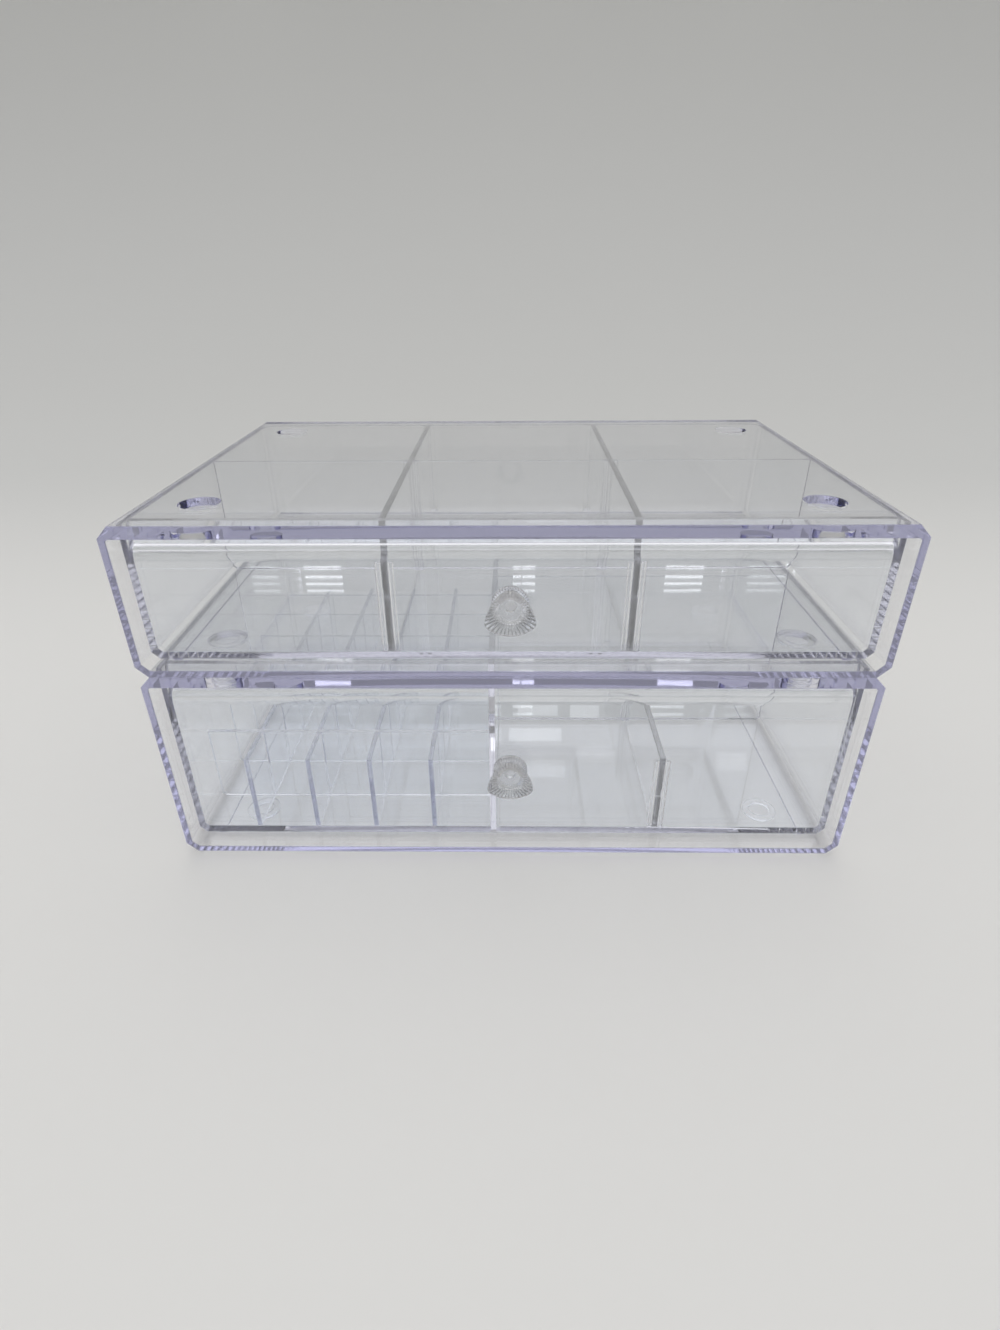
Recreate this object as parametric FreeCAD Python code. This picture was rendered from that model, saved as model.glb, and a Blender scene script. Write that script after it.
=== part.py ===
# Two clear drawer boxes for cosmetics, one stacked on the other.
# Millimetres. +X is to the right, +Y is to the back, +Z is up.
# The origin is on the table, under the middle of the stack.
import FreeCAD, Part
import math
import os

V = FreeCAD.Vector
os.makedirs("parts", exist_ok=True)

# ---------------------------------------------------------------- the cases
CASE_W = 320.0
CASE_D = 207.5
LOWER_H = 99.85
UPPER_H = 67.0
WALL = 3.0
TOP_T = 5.3
FLOOR_T = 3.1
EDGE_CHAMFER = 5.0
INNER_CHAMFER = EDGE_CHAMFER - WALL * (2.0 - math.sqrt(2.0))
TOP_INNER_CHAMFER = 0.8

# ------------------------------------------------- feet and stacking recesses
FOOT_STAND = 1.6
FOOT_D = 16.6
FOOT_BORE_D = 10.4
FOOT_INSET_X = 29.3
FOOT_INSET_Y = 30.75
FOOT_X = CASE_W / 2 - FOOT_INSET_X
FOOT_Y = CASE_D / 2 - FOOT_INSET_Y
RECESS_D = 17.6
AIR_FILM = 0.05
RECESS_DEPTH = 3.5

# ---------------------------------------------------------------- the drawers
SIDE_GAP = 0.5
UNDER_GAP = 1.0
RUNNER_H = UNDER_GAP - 0.3
RUNNER_W = 4.0
RUNNER_INSET = 14.0
RUNNER_X = CASE_W / 2 - RUNNER_INSET
BACK_GAP = 0.4
RIM_GAP = 0.9
FRONT_RECESS = 9.5
D_WALL = 2.5
D_FLOOR = 2.5
D_PANEL = 3.0
D_CHAMFER = 3.2
D_CORNER_R = 10.0
D_BACK_R = 9.0
RAIL_STEP = 4.0
RAIL_RUN = 4.0
RAIL_COVE = 6.0
RAIL_UPPER = 7.0
RAIL_LOWER = 9.0
CROSS_Y = 7.0
CROSS_T = 2.0
MID_WALL_X = -8.5
MID_WALL_T = 2.7

# -------------------------------------------------------------- the dividers
DIVIDER_T = 2.8
UPPER_DIVIDER_X = 51.75
LOWER_DIVIDER_X = 72.4
LOW_HEIGHT = 42.3
FIT = 0.15
END_FIT = 0.3
RIB_W = 2.2
RIB_REACH = 1.6
RIB_BEVEL = 0.5
NOTCH_H = 4.0
NOTCH_DEPTH = 1.2

# ------------------------------------- the slotted plates of the low grid
GRID_T = 2.2
GRID_PITCH_X = 29.5
GRID_COLUMNS = 4
GRID_PITCH_Y = 30.5
GRID_ROWS = 6
GRID_FIRST_Y = -66.5
GRID_H = 41.0
SLOT_FIT = 0.1

# ---------------------------------------------------------------- the knobs
KNOB_BASE_R = 8.05
KNOB_BASE_T = 1.6
KNOB_WAIST_R = 4.7
KNOB_WAIST_AT = 5.0
KNOB_FLARE_R = 12.2
KNOB_CAP_AT = 8.0
KNOB_TOP_UP = 5.8
KNOB_FOOT_OUT = 7.0
KNOB_FOOT_DOWN = 4.6
KNOB_FOOT_BOW = 2.4
KNOB_SIDE_BOW = 0.9
KNOB_ROUND = 3.6
KNOB_LEN = 9.4
KNOB_DISH_R = 5.3
KNOB_DISH = 0.7
PEG_R = 2.5
PEG_FIT = 0.03
UPPER_KNOB_UP = 26.2
LOWER_KNOB_UP = 40.0

# ------------------------------------------------------------ derived places
LOWER_Z = FOOT_STAND
UPPER_Z = LOWER_Z + LOWER_H + AIR_FILM
HALF_W = CASE_W / 2
FRONT_Y = -CASE_D / 2
BACK_Y = CASE_D / 2
BAY_HALF = HALF_W - WALL
D_HALF = BAY_HALF - SIDE_GAP
D_IN = D_HALF - D_WALL
D_FRONT = FRONT_Y + FRONT_RECESS
D_BACK = BACK_Y - WALL - BACK_GAP
IN_FRONT = D_FRONT + D_PANEL
IN_BACK = D_BACK - D_WALL
IN_CHAMFER = D_CHAMFER - D_WALL * (2.0 - math.sqrt(2.0))


# ------------------------------------------------------------------- helpers
def box(x0, x1, y0, y1, z0, z1):
    return Part.makeBox(x1 - x0, y1 - y0, z1 - z0, V(x0, y0, z0))


def prism(points, along):
    wire = Part.makePolygon(points + [points[0]])
    return Part.Face(wire).extrude(along)


def rod(r, start, along):
    return Part.makeCylinder(r, along.Length, start, along)


def along_y(half, z0, z1, low, high, y0, y1):
    """A bar along Y whose section has bevelled lower and upper corners."""
    pts = [V(-half + low, y0, z0), V(half - low, y0, z0)]
    if low > 0:
        pts.append(V(half, y0, z0 + low))
    if high > 0:
        pts.append(V(half, y0, z1 - high))
    pts.append(V(half - high, y0, z1))
    pts.append(V(-half + high, y0, z1))
    if high > 0:
        pts.append(V(-half, y0, z1 - high))
    if low > 0:
        pts.append(V(-half, y0, z0 + low))
    return prism(pts, V(0, y1 - y0, 0))


def with_round_back(half, y0, y1, r, z0, z1):
    """A block along Z with its two corners at the back rounded."""
    body = box(-half, half, y0, y1, z0, z1)
    edges = []
    for e in body.Edges:
        a, b = e.Vertexes[0].Point, e.Vertexes[1].Point
        if abs(a.z - b.z) > 1 and abs(a.y - y1) < 0.01:
            edges.append(e)
    return body.makeFillet(r, edges)


def with_round_heel(half, y0, y1, r, z0, z1):
    """A block along X with its lower edge at the back rounded."""
    body = box(-half, half, y0, y1, z0, z1)
    edges = []
    for e in body.Edges:
        a, b = e.Vertexes[0].Point, e.Vertexes[1].Point
        low = abs(a.z - z0) < 0.01 and abs(b.z - z0) < 0.01
        back = abs(a.y - y1) < 0.01 and abs(b.y - y1) < 0.01
        if low and back:
            edges.append(e)
    return body.makeFillet(r, edges)


def tub(half, y0, y1, z0, z1, bevel, corner_r, heel_r):
    """The shape of a drawer's outside, or of the room inside it."""
    body = along_y(half, z0, z1, bevel, 0, y0, y1)
    body = body.common(with_round_back(half, y0, y1, corner_r, z0, z1))
    return body.common(with_round_heel(half, y0, y1, heel_r, z0, z1))


def save(name, shape):
    shape = shape.removeSplitter()
    solids = shape.Solids
    if len(solids) != 1 or not shape.isValid():
        print("CHECK", name, len(solids), shape.isValid())
    solids[0].exportStep("parts/" + name + ".step")
    print(name, round(solids[0].Volume, 1), [round(v, 2) for v in (
        solids[0].BoundBox.XMin, solids[0].BoundBox.YMin, solids[0].BoundBox.ZMin,
        solids[0].BoundBox.XMax, solids[0].BoundBox.YMax, solids[0].BoundBox.ZMax)])


def corners():
    return [("front_left", -FOOT_X, -FOOT_Y), ("front_right", FOOT_X, -FOOT_Y),
            ("back_left", -FOOT_X, FOOT_Y), ("back_right", FOOT_X, FOOT_Y)]


# --------------------------------------------------------------------- cases
def case(z0, height):
    """An open-fronted box with bevelled long edges and runners for a drawer."""
    top = z0 + height
    body = along_y(HALF_W, z0, top, EDGE_CHAMFER, EDGE_CHAMFER, FRONT_Y, BACK_Y)
    bay = along_y(BAY_HALF, z0 + FLOOR_T, top - TOP_T, INNER_CHAMFER, TOP_INNER_CHAMFER,
                  FRONT_Y - 1, BACK_Y - WALL)
    body = body.cut(bay)
    for side in (-1, 1):
        x = side * RUNNER_X
        body = body.fuse(box(x - RUNNER_W / 2, x + RUNNER_W / 2, D_FRONT + 1.0, IN_BACK,
                             z0 + FLOOR_T - 0.5, z0 + FLOOR_T + RUNNER_H))
    for name, x, y in corners():
        body = body.cut(rod(RECESS_D / 2, V(x, y, top - RECESS_DEPTH), V(0, 0, RECESS_DEPTH + 1)))
    return body


def foot(x, y, z0):
    """A clear ring glued under a case, which drops into a recess of the case below."""
    ring = rod(FOOT_D / 2, V(x, y, z0 - FOOT_STAND), V(0, 0, FOOT_STAND - AIR_FILM))
    return ring.cut(rod(FOOT_BORE_D / 2, V(x, y, z0 - FOOT_STAND - 1), V(0, 0, FOOT_STAND + 2)))


# ------------------------------------------------------------------- drawers
def rim_of(z0, height):
    return z0 + height - TOP_T - RIM_GAP


def base_of(z0):
    return z0 + FLOOR_T + UNDER_GAP


def room(z0, height, gap):
    """The space inside a drawer, held back from its back wall by a gap."""
    return tub(D_IN, IN_FRONT, IN_BACK - gap, base_of(z0) + D_FLOOR, rim_of(z0, height) + 1,
               IN_CHAMFER, D_CORNER_R - D_WALL, D_BACK_R - D_WALL)


def rail(z0, height, rail_h):
    """The thick top of the drawer front, with a cove under it."""
    rim = rim_of(z0, height)
    y = IN_FRONT
    low = rim - rail_h
    swing = math.acos(1 - RAIL_STEP / RAIL_COVE)
    drop = RAIL_COVE * math.sin(swing)
    mid = swing / 2
    foot_pt = V(-D_IN, y, low - drop)
    mid_pt = V(-D_IN, y + RAIL_COVE * (1 - math.cos(mid)), low - drop + RAIL_COVE * math.sin(mid))
    head_pt = V(-D_IN, y + RAIL_STEP, low)
    arc = Part.Arc(foot_pt, mid_pt, head_pt).toShape()
    rest = Part.makePolygon([head_pt, V(-D_IN, y + RAIL_STEP, rim), V(-D_IN, y - 1, rim),
                             V(-D_IN, y - 1, low - drop), foot_pt])
    face = Part.Face(Part.Wire([arc] + rest.Edges))
    return face.extrude(V(2 * D_IN, 0, 0))


def bevel(z0, height, rail_h):
    """What is cut off the front of the top rail, between the side walls."""
    rim = rim_of(z0, height)
    pts = [V(-D_IN, D_FRONT, rim - rail_h), V(-D_IN, D_FRONT + RAIL_RUN, rim),
           V(-D_IN, D_FRONT + RAIL_RUN, rim + 1), V(-D_IN, D_FRONT - 1, rim + 1),
           V(-D_IN, D_FRONT - 1, rim - rail_h)]
    return prism(pts, V(2 * D_IN, 0, 0))


def rib_pair(x, wall_y, way, z0, z1, thick):
    """Two upright ribs that hold the edge of a divider against a wall."""
    out = []
    for side in (-1, 1):
        near = x + side * (thick / 2 + FIT)
        far = near + side * RIB_W
        y0, y1 = sorted((wall_y - way * 0.5, wall_y + way * RIB_REACH))
        rib = box(min(near, far), max(near, far), y0, y1, z0 - 0.5, z1)
        edges = []
        for e in rib.Edges:
            a, b = e.Vertexes[0].Point, e.Vertexes[1].Point
            if abs(a.y - (wall_y + way * RIB_REACH)) < 0.01 and abs(a.y - b.y) < 0.01:
                edges.append(e)
        out.append(rib.makeChamfer(RIB_BEVEL, edges))
    return out


def drawer(z0, height, rail_h, knob_up):
    """The moulded tub: floor, four walls, top rail and the knob's hole."""
    base, rim = base_of(z0), rim_of(z0, height)
    body = tub(D_HALF, D_FRONT, D_BACK, base, rim, D_CHAMFER, D_CORNER_R, D_BACK_R)
    body = body.cut(room(z0, height, 0.0))
    body = body.fuse(rail(z0, height, rail_h))
    body = body.cut(bevel(z0, height, rail_h))
    hole = rod(PEG_R + PEG_FIT, V(0, D_FRONT - 1, base + knob_up), V(0, D_PANEL + 2, 0))
    return body.cut(hole)


def within(shape, z0, height):
    """Only what lies inside the drawer's walls, let into them a little."""
    block = tub(D_HALF - 1, D_FRONT + 1, D_BACK - 1, base_of(z0) + 1, rim_of(z0, height),
                D_CHAMFER - 1, D_CORNER_R - 1, D_BACK_R - 1)
    return shape.common(block)


def rail_foot(z0, height, rail_h):
    return rim_of(z0, height) - rail_h - RAIL_COVE


def upper_drawer():
    z0, height = UPPER_Z, UPPER_H
    base, rim = base_of(z0), rim_of(z0, height)
    floor = base + D_FLOOR
    body = drawer(z0, height, RAIL_UPPER, UPPER_KNOB_UP)
    cross = box(-D_IN - 1, D_IN + 1, CROSS_Y - CROSS_T / 2, CROSS_Y + CROSS_T / 2, floor - 1, rim)
    body = body.fuse(within(cross, z0, height))
    for side in (-1, 1):
        x = side * UPPER_DIVIDER_X
        for rib in rib_pair(x, IN_FRONT, 1, floor, rail_foot(z0, height, RAIL_UPPER), DIVIDER_T):
            body = body.fuse(rib)
        for rib in rib_pair(x, CROSS_Y - CROSS_T / 2, -1, floor, rim, DIVIDER_T):
            body = body.fuse(rib)
        for rib in rib_pair(x, CROSS_Y + CROSS_T / 2, 1, floor, rim, DIVIDER_T):
            body = body.fuse(rib)
        for rib in rib_pair(x, IN_BACK, -1, floor, rim, DIVIDER_T):
            body = body.fuse(rib)
    return body


def lower_drawer():
    z0, height = LOWER_Z, LOWER_H
    base, rim = base_of(z0), rim_of(z0, height)
    floor = base + D_FLOOR
    body = drawer(z0, height, RAIL_LOWER, LOWER_KNOB_UP)
    x0, x1 = MID_WALL_X - MID_WALL_T / 2, MID_WALL_X + MID_WALL_T / 2
    wall = box(x0, x1, D_FRONT, D_BACK, floor - 1, rim)
    body = body.fuse(within(wall, z0, height).cut(bevel(z0, height, RAIL_LOWER)))
    cross = box(x1 - 0.5, D_IN + 1, CROSS_Y - CROSS_T / 2, CROSS_Y + CROSS_T / 2, floor - 1, rim)
    body = body.fuse(within(cross, z0, height))
    ribs = rib_pair(LOWER_DIVIDER_X, IN_FRONT, 1, floor, floor + LOW_HEIGHT - 1.5, DIVIDER_T)
    for wall_y, way in ((CROSS_Y - CROSS_T / 2, -1), (CROSS_Y + CROSS_T / 2, 1), (IN_BACK, -1)):
        ribs += rib_pair(LOWER_DIVIDER_X, wall_y, way, floor, floor + LOW_HEIGHT - 1.5, DIVIDER_T)
    for rib in ribs:
        body = body.fuse(rib)
    return body


# ------------------------------------------------------------------ dividers
def plate(x, y0, y1, z0, z1):
    """A flat divider with small notches halfway up its two upright edges."""
    z0 += AIR_FILM
    body = box(x - DIVIDER_T / 2, x + DIVIDER_T / 2, y0, y1, z0, z1)
    mid = (z0 + z1) / 2
    for y in (y0, y1):
        cut = box(x - DIVIDER_T, x + DIVIDER_T, y - NOTCH_DEPTH, y + NOTCH_DEPTH,
                  mid - NOTCH_H / 2, mid + NOTCH_H / 2)
        body = body.cut(cut)
    return body


def front_plate(x, z0, height, rail_h, top):
    floor = base_of(z0) + D_FLOOR
    body = plate(x, IN_FRONT + END_FIT, CROSS_Y - CROSS_T / 2 - END_FIT, floor, top)
    low = rail_foot(z0, height, rail_h) - END_FIT
    if top > low:
        y = IN_FRONT + RAIL_STEP + END_FIT
        pts = [V(x - 5, IN_FRONT - 1, low), V(x - 5, IN_FRONT + END_FIT, low),
               V(x - 5, y, low + RAIL_COVE - 1.2), V(x - 5, y, top + 1),
               V(x - 5, IN_FRONT - 1, top + 1)]
        body = body.cut(prism(pts, V(10, 0, 0)))
    return body


def back_plate(x, z0, height, top):
    floor = base_of(z0) + D_FLOOR
    body = plate(x, CROSS_Y + CROSS_T / 2 + END_FIT, IN_BACK - END_FIT, floor, top)
    return body.common(room(z0, height, END_FIT))


# ---------------------------------------------------------------------- grid
def grid_x(i):
    return MID_WALL_X - GRID_PITCH_X * (i + 1)


def grid_y(j):
    return GRID_FIRST_Y + GRID_PITCH_Y * j


def grid_long(i):
    """A low plate that runs from front to back, slotted from above."""
    floor = base_of(LOWER_Z) + D_FLOOR
    top = floor + GRID_H
    x = grid_x(i)
    body = box(x - GRID_T / 2, x + GRID_T / 2, IN_FRONT + END_FIT, IN_BACK - END_FIT,
               floor + AIR_FILM, top)
    half = GRID_T / 2 + SLOT_FIT
    for j in range(GRID_ROWS):
        y = grid_y(j)
        body = body.cut(box(x - 5, x + 5, y - half, y + half, top - GRID_H / 2 - SLOT_FIT, top + 1))
    return body.common(room(LOWER_Z, LOWER_H, END_FIT))


def grid_cross(j):
    """A low plate that runs from side to side, slotted from below."""
    floor = base_of(LOWER_Z) + D_FLOOR
    top = floor + GRID_H
    y = grid_y(j)
    x0 = -D_IN + END_FIT
    x1 = MID_WALL_X - MID_WALL_T / 2 - END_FIT
    body = box(x0, x1, y - GRID_T / 2, y + GRID_T / 2, floor + AIR_FILM, top)
    half = GRID_T / 2 + SLOT_FIT
    for i in range(GRID_COLUMNS):
        x = grid_x(i)
        body = body.cut(box(x - half, x + half, y - 5, y + 5, floor - 1, floor + GRID_H / 2 + SLOT_FIT))
    clear = tub(D_IN - END_FIT, IN_FRONT, IN_BACK - END_FIT, floor, top + 1,
                IN_CHAMFER, D_CORNER_R - D_WALL, D_BACK_R - D_WALL)
    return body.common(clear)


# --------------------------------------------------------------------- knobs
def knob_front(z):
    """The pull's front outline: three bowed sides with round corners, wide below."""
    y = D_FRONT - AIR_FILM - KNOB_LEN
    top = V(0, y, z + KNOB_TOP_UP)
    left = V(-KNOB_FOOT_OUT, y, z - KNOB_FOOT_DOWN)
    right = V(KNOB_FOOT_OUT, y, z - KNOB_FOOT_DOWN)
    half_up = (KNOB_TOP_UP - KNOB_FOOT_DOWN) / 2
    out = KNOB_FOOT_OUT / 2 + KNOB_SIDE_BOW
    sides = [Part.Arc(top, V(-out, y, z + half_up + KNOB_SIDE_BOW / 2), left),
             Part.Arc(left, V(0, y, z - KNOB_FOOT_DOWN - KNOB_FOOT_BOW), right),
             Part.Arc(right, V(out, y, z + half_up + KNOB_SIDE_BOW / 2), top)]
    wire = Part.Wire([side.toShape() for side in sides])
    return Part.Face(wire.makeOffset2D(KNOB_ROUND))


def knob(z):
    """A clear pull: a round foot, a waist, a flare trimmed to its outline, and a peg."""
    y = D_FRONT - AIR_FILM
    pts = [V(0, y, z), V(KNOB_BASE_R, y, z), V(KNOB_BASE_R, y - KNOB_BASE_T, z),
           V(KNOB_WAIST_R, y - KNOB_WAIST_AT, z), V(KNOB_FLARE_R, y - KNOB_CAP_AT, z),
           V(KNOB_FLARE_R, y - KNOB_LEN, z), V(KNOB_DISH_R, y - KNOB_LEN, z),
           V(KNOB_DISH_R, y - KNOB_LEN + KNOB_DISH, z), V(0, y - KNOB_LEN + KNOB_DISH, z)]
    wire = Part.makePolygon(pts + [pts[0]])
    turned = Part.Face(wire).revolve(V(0, 0, z), V(0, 1, 0), 360)
    trim = knob_front(z).extrude(V(0, KNOB_LEN - KNOB_WAIST_AT, 0))
    back = rod(KNOB_BASE_R + 1, V(0, y - KNOB_WAIST_AT - 0.01, z), V(0, KNOB_WAIST_AT + 0.01, 0))
    peg = rod(PEG_R, V(0, y - 1, z), V(0, 1 + D_PANEL, 0))
    return turned.common(trim.fuse(back)).fuse(peg)


# --------------------------------------------------------------------- build
save("lower_case", case(LOWER_Z, LOWER_H))
save("upper_case", case(UPPER_Z, UPPER_H))
for place, fx, fy in corners():
    save("lower_foot_" + place, foot(fx, fy, LOWER_Z))
    save("upper_foot_" + place, foot(fx, fy, UPPER_Z))
save("lower_drawer", lower_drawer())
save("upper_drawer", upper_drawer())
save("lower_knob", knob(base_of(LOWER_Z) + LOWER_KNOB_UP))
save("upper_knob", knob(base_of(UPPER_Z) + UPPER_KNOB_UP))
rim_u = rim_of(UPPER_Z, UPPER_H)
for side_name, sx in (("left", -1), ("right", 1)):
    px = sx * UPPER_DIVIDER_X
    save("upper_divider_front_" + side_name,
         front_plate(px, UPPER_Z, UPPER_H, RAIL_UPPER, rim_u))
    save("upper_divider_back_" + side_name, back_plate(px, UPPER_Z, UPPER_H, rim_u))
low_top = base_of(LOWER_Z) + D_FLOOR + LOW_HEIGHT
save("lower_divider_front",
     front_plate(LOWER_DIVIDER_X, LOWER_Z, LOWER_H, RAIL_LOWER, low_top))
save("lower_divider_back", back_plate(LOWER_DIVIDER_X, LOWER_Z, LOWER_H, low_top))
for column in range(GRID_COLUMNS):
    save("grid_long_" + str(column + 1), grid_long(column))
for row in range(GRID_ROWS):
    save("grid_cross_" + str(row + 1), grid_cross(row))
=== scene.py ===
# Two clear moulded drawer boxes for cosmetics, stacked one on the other.
import math

import bpy
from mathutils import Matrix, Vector


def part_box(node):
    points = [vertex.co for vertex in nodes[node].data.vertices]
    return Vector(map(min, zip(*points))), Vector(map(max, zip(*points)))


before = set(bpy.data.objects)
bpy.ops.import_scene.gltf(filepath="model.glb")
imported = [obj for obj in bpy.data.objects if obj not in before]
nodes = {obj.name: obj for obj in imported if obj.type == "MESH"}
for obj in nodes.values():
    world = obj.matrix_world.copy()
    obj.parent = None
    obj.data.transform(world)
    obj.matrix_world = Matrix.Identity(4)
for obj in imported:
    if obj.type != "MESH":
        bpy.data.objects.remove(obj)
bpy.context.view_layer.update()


# The two cases.
# Each is one injection moulding of clear polystyrene: a box open at the front,
# with bevelled long edges. Its faces look almost clear and its edges violet.
def linear(hex_colour, alpha=1.0):
    """An sRGB hex colour as linear numbers."""
    channels = [int(hex_colour[i:i + 2], 16) / 255 for i in (1, 3, 5)]
    steps = [c / 12.92 if c <= 0.04045 else ((c + 0.055) / 1.055) ** 2.4 for c in channels]
    return (*steps, alpha)


def add(tree, kind, settings=None, links=None):
    """Adds a node, sets its values and links its sockets."""
    node = tree.nodes.new(kind)
    for key, value in (settings or {}).items():
        if key in node.inputs:
            node.inputs[key].default_value = value
        else:
            setattr(node, key, value)
    for key, socket in (links or {}).items():
        tree.links.new(socket, node.inputs[key])
    return node


POLYSTYRENE_IOR = 1.59
WAVE_LENGTH = 0.025
WAVE_HEIGHT = 0.001
MARK_LENGTH = 0.004
GLOSSY_PART = 0.5
RUBBED_PART = 1.6
EDGE_SAMPLES = 2


def clear_polystyrene(name, tint, density, base="#ffffff", roughness=0.01, ripple=0.006,
                      edge=0.0008):
    """Clear moulded plastic whose colour comes from the depth that light crosses."""
    material = bpy.data.materials.new(name)
    material.use_nodes = True
    tree = material.node_tree
    tree.nodes.clear()
    out = add(tree, "ShaderNodeOutputMaterial")
    place = add(tree, "ShaderNodeTexCoord")
    # The mould's polish leaves a slow waviness about 25 mm long.
    waves = add(tree, "ShaderNodeTexNoise", {"Scale": 1 / WAVE_LENGTH, "Detail": 1.0},
                {"Vector": place.outputs["Object"]})
    # No moulded edge is quite sharp: each catches the light along a narrow round.
    rounded = add(tree, "ShaderNodeBevel", {"Radius": edge})
    rounded.samples = EDGE_SAMPLES
    bump = add(tree, "ShaderNodeBump", {"Strength": ripple, "Distance": WAVE_HEIGHT},
               {"Height": waves.outputs["Fac"], "Normal": rounded.outputs["Normal"]})
    # Fine haze and rub marks change the gloss a little from place to place.
    marks = add(tree, "ShaderNodeTexNoise",
                {"Scale": 1 / MARK_LENGTH, "Detail": 3.0, "Roughness": 0.7},
                {"Vector": place.outputs["Object"]})
    gloss = add(tree, "ShaderNodeMapRange",
                {"To Min": roughness * GLOSSY_PART, "To Max": roughness * RUBBED_PART},
                {"Value": marks.outputs["Fac"]})
    shell = add(tree, "ShaderNodeBsdfPrincipled",
                {"Base Color": linear(base), "IOR": POLYSTYRENE_IOR, "Transmission Weight": 1.0},
                {"Roughness": gloss.outputs["Result"], "Normal": bump.outputs["Normal"]})
    depth = add(tree, "ShaderNodeVolumeAbsorption", {"Color": linear(tint), "Density": density})
    tree.links.new(shell.outputs["BSDF"], out.inputs["Surface"])
    tree.links.new(depth.outputs["Volume"], out.inputs["Volume"])
    return material


def dress(node_name, material):
    """Gives a CAD node its finish in every material slot."""
    piece = nodes[node_name]
    if not piece.material_slots:
        piece.data.materials.append(material)
    for held in piece.material_slots:
        held.material = material


CASE_TINT = "#4141c2"
CASE_DENSITY = 3.1
case_plastic = clear_polystyrene("moulded_polystyrene_case", CASE_TINT, CASE_DENSITY)
for case in ("lower_case", "upper_case"):
    dress(case, case_plastic)


# The feet.
# Clear moulded rings glued under each case. The upper ones stand in round recesses
# in the top of the lower case, and they show as pale rings through the floors.
FOOT_TINT = "#8080b0"
FOOT_DENSITY = 3.0
FOOT_ROUGHNESS = 0.02
foot_plastic = clear_polystyrene("moulded_polystyrene_foot", FOOT_TINT, FOOT_DENSITY,
                                 roughness=FOOT_ROUGHNESS)
for unit in ("lower", "upper"):
    for corner in ("front_left", "front_right", "back_left", "back_right"):
        dress(unit + "_foot_" + corner, foot_plastic)


# The drawers.
# Each is one moulding of the same polystyrene as the cases, with thinner walls.
# The lower one's tint is weaker, so its edges are paler.
DRAWER_TINT = "#66668c"
DRAWER_FACE = "#fdfeff"
DRAWER_DENSITIES = (("lower_drawer", 2.2), ("upper_drawer", 2.8))
for drawer, density in DRAWER_DENSITIES:
    dress(drawer, clear_polystyrene("moulded_polystyrene_" + drawer, DRAWER_TINT, density,
                                    DRAWER_FACE))


# The knobs.
# Solid mouldings of water-clear plastic, glued through the drawer front by a peg.
# Fine flutes fan out from the axis, outside the dish. Their valleys get painted shade: the base colour
# is darkened there, standing in for the dark refractions of the flutes.
KNOB_TINT = "#606066"
KNOB_DENSITY = 12.0
KNOB_ROUGHNESS = 0.01
KNOB_EDGE = 0.0004
FLUTE_COUNT = 38
FLUTE_RELIEF = 0.5
FLUTE_PAINTED_SHADE = 0.75
FLUTES_FROM = 0.0055
FLUTES_FULL = 0.0075
VALLEY_HALF = 0.3
AXIS_BELOW_TOP = 0.0094
for knob in ("lower_knob", "upper_knob"):
    axis_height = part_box(knob)[1].z - AXIS_BELOW_TOP
    knob_plastic = clear_polystyrene("moulded_polystyrene_" + knob, KNOB_TINT, KNOB_DENSITY,
                                     "#ffffff", KNOB_ROUGHNESS, FLUTE_RELIEF, KNOB_EDGE)
    dress(knob, knob_plastic)
    tree = knob_plastic.node_tree
    place = tree.nodes["Texture Coordinate"]
    turned = add(tree, "ShaderNodeMapping",
                 {"Rotation": (math.pi / 2, 0, 0), "Location": (0, axis_height, 0),
                  "Scale": (1, 0, 1)},
                 {"Vector": place.outputs["Object"]})
    angle = add(tree, "ShaderNodeTexGradient", {"gradient_type": "RADIAL"},
                {"Vector": turned.outputs["Vector"]})
    turns = add(tree, "ShaderNodeMath", {"operation": "MULTIPLY"}, {0: angle.outputs["Fac"]})
    turns.inputs[1].default_value = FLUTE_COUNT
    ridge = add(tree, "ShaderNodeMath", {"operation": "PINGPONG"}, {0: turns.outputs["Value"]})
    ridge.inputs[1].default_value = 0.5
    out = add(tree, "ShaderNodeVectorMath", {"operation": "LENGTH"}, {0: turned.outputs["Vector"]})
    rim = add(tree, "ShaderNodeMapRange", {"From Min": FLUTES_FROM, "From Max": FLUTES_FULL},
              {"Value": out.outputs["Value"]})
    # Painted shade: the base colour darkens in each flute's valley, outside the dish.
    valley = add(tree, "ShaderNodeMapRange",
                 {"From Min": 0.0, "From Max": VALLEY_HALF, "To Min": FLUTE_PAINTED_SHADE, "To Max": 0.0},
                 {"Value": ridge.outputs["Value"]})
    groove = add(tree, "ShaderNodeMath", {"operation": "MULTIPLY"},
                 {0: ridge.outputs["Value"], 1: rim.outputs["Result"]})
    shadow = add(tree, "ShaderNodeMath", {"operation": "MULTIPLY"},
                 {0: valley.outputs["Result"], 1: rim.outputs["Result"]})
    shade = add(tree, "ShaderNodeMath", {"operation": "SUBTRACT"}, {1: shadow.outputs["Value"]})
    shade.inputs[0].default_value = 1.0
    tree.links.new(groove.outputs["Value"], tree.nodes["Bump"].inputs["Height"])
    tree.links.new(shade.outputs["Value"], tree.nodes["Principled BSDF"].inputs["Base Color"])


# The removable dividers.
# Plates of a greyer plastic, so their edges look dark grey, and their faces slightly smoky.
DIVIDER_TINT = "#4a4a58"
DIVIDER_DENSITY = 6.5
divider_plastic = clear_polystyrene("moulded_grey_divider", DIVIDER_TINT, DIVIDER_DENSITY)
for node_name in sorted(nodes):
    if "divider" in node_name:
        dress(node_name, divider_plastic)


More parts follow.
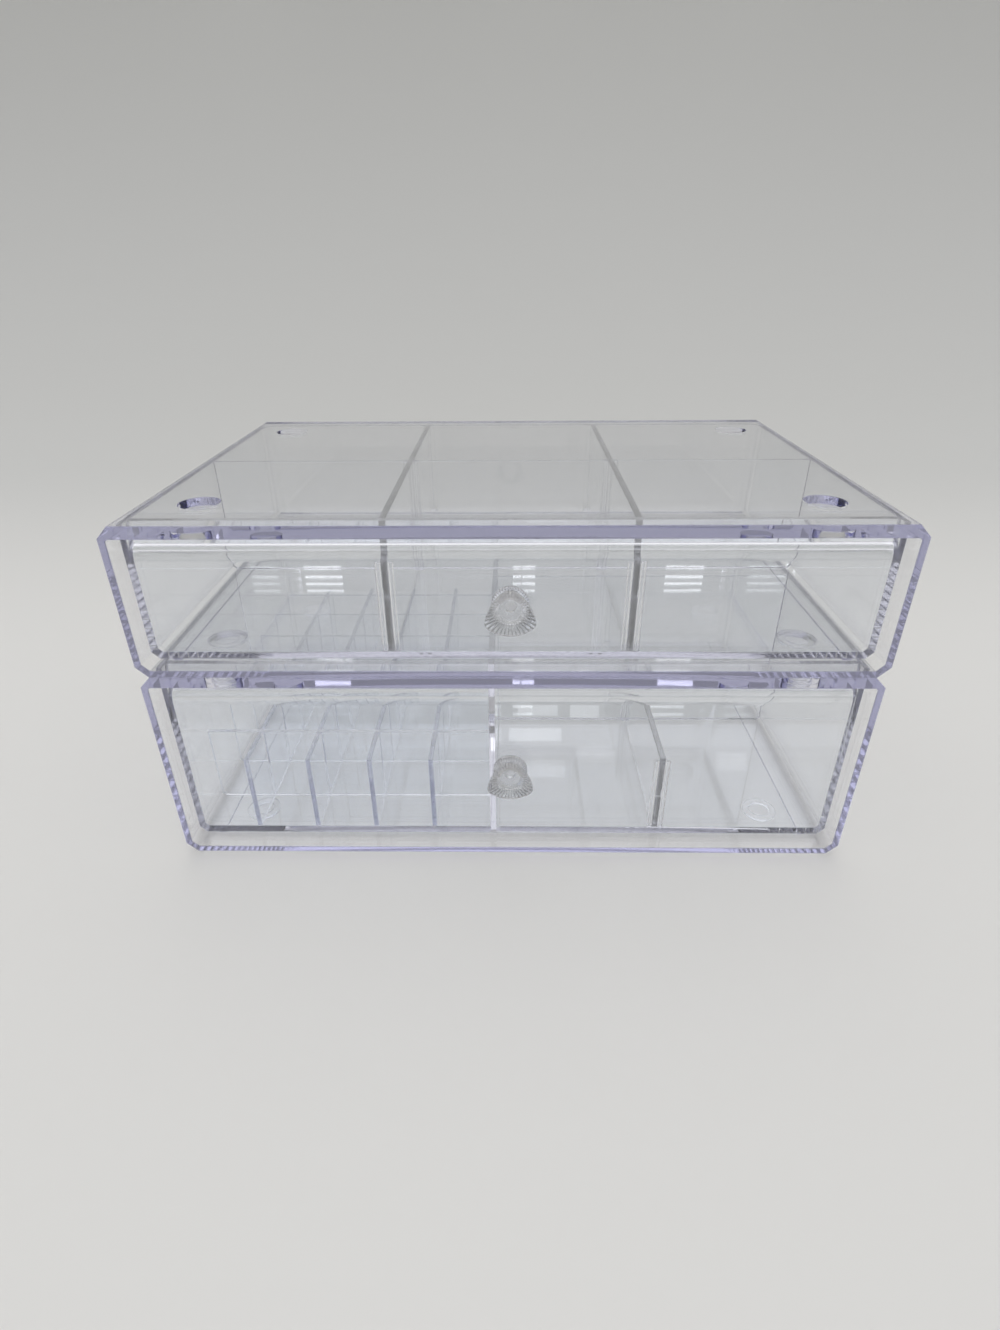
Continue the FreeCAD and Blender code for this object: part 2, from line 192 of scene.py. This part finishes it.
# The low grid.
# Slotted plates of clear plastic, pushed together into small cells. The long plates
# that run from front to back have a bluish edge, and the cross plates are clearer.
GRID_TINT = "#4a55a0"
LONG_DENSITY = 4.0
CROSS_DENSITY = 1.6
LONG_FACE = "#fcfdff"
CROSS_FACE = "#fdfeff"
long_plastic = clear_polystyrene("moulded_polystyrene_long_plate", GRID_TINT, LONG_DENSITY,
                                 LONG_FACE)
cross_plastic = clear_polystyrene("moulded_polystyrene_cross_plate", GRID_TINT, CROSS_DENSITY,
                                  CROSS_FACE)
for node_name in sorted(nodes):
    if node_name.startswith("grid_long"):
        dress(node_name, long_plastic)
    if node_name.startswith("grid_cross"):
        dress(node_name, cross_plastic)


# The table and backdrop.
# A pale sweep of matt board: flat under the boxes, curved up far behind them. Its colour darkens towards
# the back as painted shade, standing in for light that falls off there.
SWEEP_HALF = 60.0
SWEEP_FRONT = -60.0
SWEEP_BEND = 1.2
SWEEP_RADIUS = 1.6
SWEEP_HEIGHT = 1.9
SWEEP_STEPS = 12
SWEEP_LEVEL = -0.00005
NEAR_TONE = "#dddcd6"
FAR_PAINTED_SHADE_TONE = "#c8c8c3"
FAR_FROM = 0.0
FAR_FULL = 0.7
BOARD_ROUGHNESS = 0.6
bpy.ops.object.select_all(action="DESELECT")
bpy.ops.mesh.primitive_plane_add(size=1)
floor = bpy.context.object
floor.name = "backdrop"
sweep = floor.data
sweep.clear_geometry()
profile = [(SWEEP_FRONT, SWEEP_LEVEL)]
for step in range(SWEEP_STEPS + 1):
    turn = math.pi / 2 * step / SWEEP_STEPS
    profile.append((SWEEP_BEND + SWEEP_RADIUS * math.sin(turn),
                    SWEEP_LEVEL + SWEEP_RADIUS * (1 - math.cos(turn))))
profile.append((SWEEP_BEND + SWEEP_RADIUS, SWEEP_HEIGHT))
verts = [(x, y, z) for y, z in profile for x in (-SWEEP_HALF, SWEEP_HALF)]
faces = [(2 * i, 2 * i + 1, 2 * i + 3, 2 * i + 2) for i in range(len(profile) - 1)]
sweep.from_pydata(verts, [], faces)
for face in sweep.polygons:
    face.use_smooth = True
board = bpy.data.materials.new("matt_board")
board.use_nodes = True
paper = board.node_tree
distance = add(paper, "ShaderNodeSeparateXYZ", None,
               {"Vector": add(paper, "ShaderNodeTexCoord").outputs["Object"]})
# Painted shade: the board's colour darkens smoothly towards the back, in place of light falling off.
far = add(paper, "ShaderNodeMapRange", {"From Min": FAR_FROM, "From Max": FAR_FULL},
          {"Value": distance.outputs["Y"]})
far.interpolation_type = "SMOOTHSTEP"
shade = add(paper, "ShaderNodeMix", {"data_type": "RGBA"}, {"Factor": far.outputs["Result"]})
shade.inputs["A"].default_value = linear(NEAR_TONE)
shade.inputs["B"].default_value = linear(FAR_PAINTED_SHADE_TONE)
cover = paper.nodes["Principled BSDF"]
cover.inputs["Roughness"].default_value = BOARD_ROUGHNESS
paper.links.new(shade.outputs["Result"], cover.inputs["Base Color"])
sweep.materials.append(board)


# The camera.
# It stands close in front and above, and looks down into the boxes.
WIDE_SIDE_PX = 1000
LONG_SIDE_PX = 1330
FOCAL_PX = 712.17
SENSOR_MM = 36.0
NEAREST = 0.01
CAMERA_PLACE = (0.0, -0.36549, 0.25513)
CAMERA_TURN = (60.620, 0.387, 0.731)
camera_data = bpy.data.cameras.new("camera")
camera_data.sensor_width = SENSOR_MM
camera_data.lens = SENSOR_MM * FOCAL_PX / LONG_SIDE_PX
camera_data.clip_start = NEAREST
camera = bpy.data.objects.new("camera", camera_data)
bpy.context.scene.collection.objects.link(camera)
camera.location = CAMERA_PLACE
camera.rotation_mode = "XYZ"
camera.rotation_euler = tuple(math.radians(a) for a in CAMERA_TURN)
bpy.context.scene.camera = camera


# The light.
# Plain soft light, strong from above and weak from the front horizon, so that clear
# edges stand out. Far behind the boxes hang ceiling tubes and panels, which the flat
# faces mirror as white bars.
SKY_TONE = "#fbfbff"
SKY_TILT = math.radians(11)
SKY_LOW = (-0.25, 0.12)
SKY_HIGH = (1.0, 1.34)
world = bpy.data.worlds.new("soft_light")
bpy.context.scene.world = world
world.use_nodes = True
sky = world.node_tree
heading = add(sky, "ShaderNodeTexCoord")
tilt = add(sky, "ShaderNodeMapping", {"Rotation": (SKY_TILT, 0, 0)},
           {"Vector": heading.outputs["Generated"]})
height = add(sky, "ShaderNodeSeparateXYZ", None, {"Vector": tilt.outputs["Vector"]})
level = add(sky, "ShaderNodeMapRange",
            {"From Min": SKY_LOW[0], "From Max": SKY_HIGH[0],
             "To Min": SKY_LOW[1], "To Max": SKY_HIGH[1]},
            {"Value": height.outputs["Z"]})
glow = sky.nodes["Background"]
glow.inputs["Color"].default_value = linear(SKY_TONE)
sky.links.new(level.outputs["Result"], glow.inputs["Strength"])

# Lamps are told by where the camera sees their mirror images on the drawers' floors,
# in pixels of the frame. Tubes stand in columns, each with its middle and width in
# metres; rows give height or image, thickness and glow. A panel's image is told by its
# left, top, right and bottom.
LAMPS_Y = 2.65
UPPER_FLOOR_TOP = 0.1081
LOWER_FLOOR_TOP = 0.0082
TUBE_COLUMNS = ((-0.85, 0.17), (0.03, 0.036), (0.083, 0.06), (0.785, 0.17))
HIGH_TUBES = ((1.74, 0.014, 1.2), (1.69, 0.018, 1.3), (1.62, 0.022, 1.4))
LOW_TUBE_IMAGES = ((567, 0.012, 2.2), (576, 0.01, 2.0), (583, 0.01, 1.6), (590, 0.01, 1.3))
PANEL_GLOW = 0.8
PANEL_IMAGES = ((518, 704, 558, 714), (570, 704, 599, 716), (509, 728, 561, 739),
                (577, 747, 630, 761), (526, 761, 565, 775), (717, 754, 747, 768))


def mirrored(across, down, floor_top):
    """Where at LAMPS_Y the thing hangs that a floor shows at that pixel: x and height."""
    ray = camera.rotation_euler.to_matrix() @ Vector(
        (across - WIDE_SIDE_PX / 2, LONG_SIDE_PX / 2 - down, -FOCAL_PX))
    to_lamp = (LAMPS_Y - camera.location.y) / ray.y
    to_floor = (floor_top - camera.location.z) / ray.z
    return camera.location.x + to_lamp * ray.x, floor_top - (to_lamp - to_floor) * ray.z


def panel(left, top, right, bottom):
    """A lamp whose mirror image on the lower floor fills that box."""
    middle = (left + right) / 2
    level = (top + bottom) / 2
    x_left = mirrored(left, level, LOWER_FLOOR_TOP)[0]
    x_right = mirrored(right, level, LOWER_FLOOR_TOP)[0]
    z_top = mirrored(middle, top, LOWER_FLOOR_TOP)[1]
    z_bottom = mirrored(middle, bottom, LOWER_FLOOR_TOP)[1]
    return (x_left + x_right) / 2, (z_top + z_bottom) / 2, x_right - x_left, z_bottom - z_top, PANEL_GLOW


tube_rows = list(HIGH_TUBES)
for down, tall, glow_level in LOW_TUBE_IMAGES:
    tube_rows.append((mirrored(WIDE_SIDE_PX / 2, down, UPPER_FLOOR_TOP)[1], tall, glow_level))
lamps = [(x, z, width, tall, glow_level)
         for x, width in TUBE_COLUMNS for z, tall, glow_level in tube_rows]
lamps += [panel(*image) for image in PANEL_IMAGES]
for x, z, width, tall, glow_level in lamps:
    lamp = bpy.data.lights.new("ceiling_lamp", "AREA")
    lamp.shape = "RECTANGLE"
    lamp.size = width
    lamp.size_y = tall
    lamp.energy = glow_level * math.pi * width * tall
    holder = bpy.data.objects.new("ceiling_lamp", lamp)
    bpy.context.scene.collection.objects.link(holder)
    holder.location = (x, LAMPS_Y, z)
    holder.rotation_euler = (math.atan2(z, LAMPS_Y) - math.pi / 2, 0, 0)


# The render's settings.
# Light runs far inside clear plates before it leaves, so its path has many turns.
CLEAR_BOUNCES = 100
MATT_BOUNCES = 4
scene = bpy.context.scene
scene.view_settings.view_transform = "Standard"
scene.cycles.max_bounces = CLEAR_BOUNCES
scene.cycles.transmission_bounces = CLEAR_BOUNCES
scene.cycles.glossy_bounces = CLEAR_BOUNCES
scene.cycles.diffuse_bounces = MATT_BOUNCES
scene.cycles.blur_glossy = 0.0
scene.cycles.transparent_max_bounces = 16
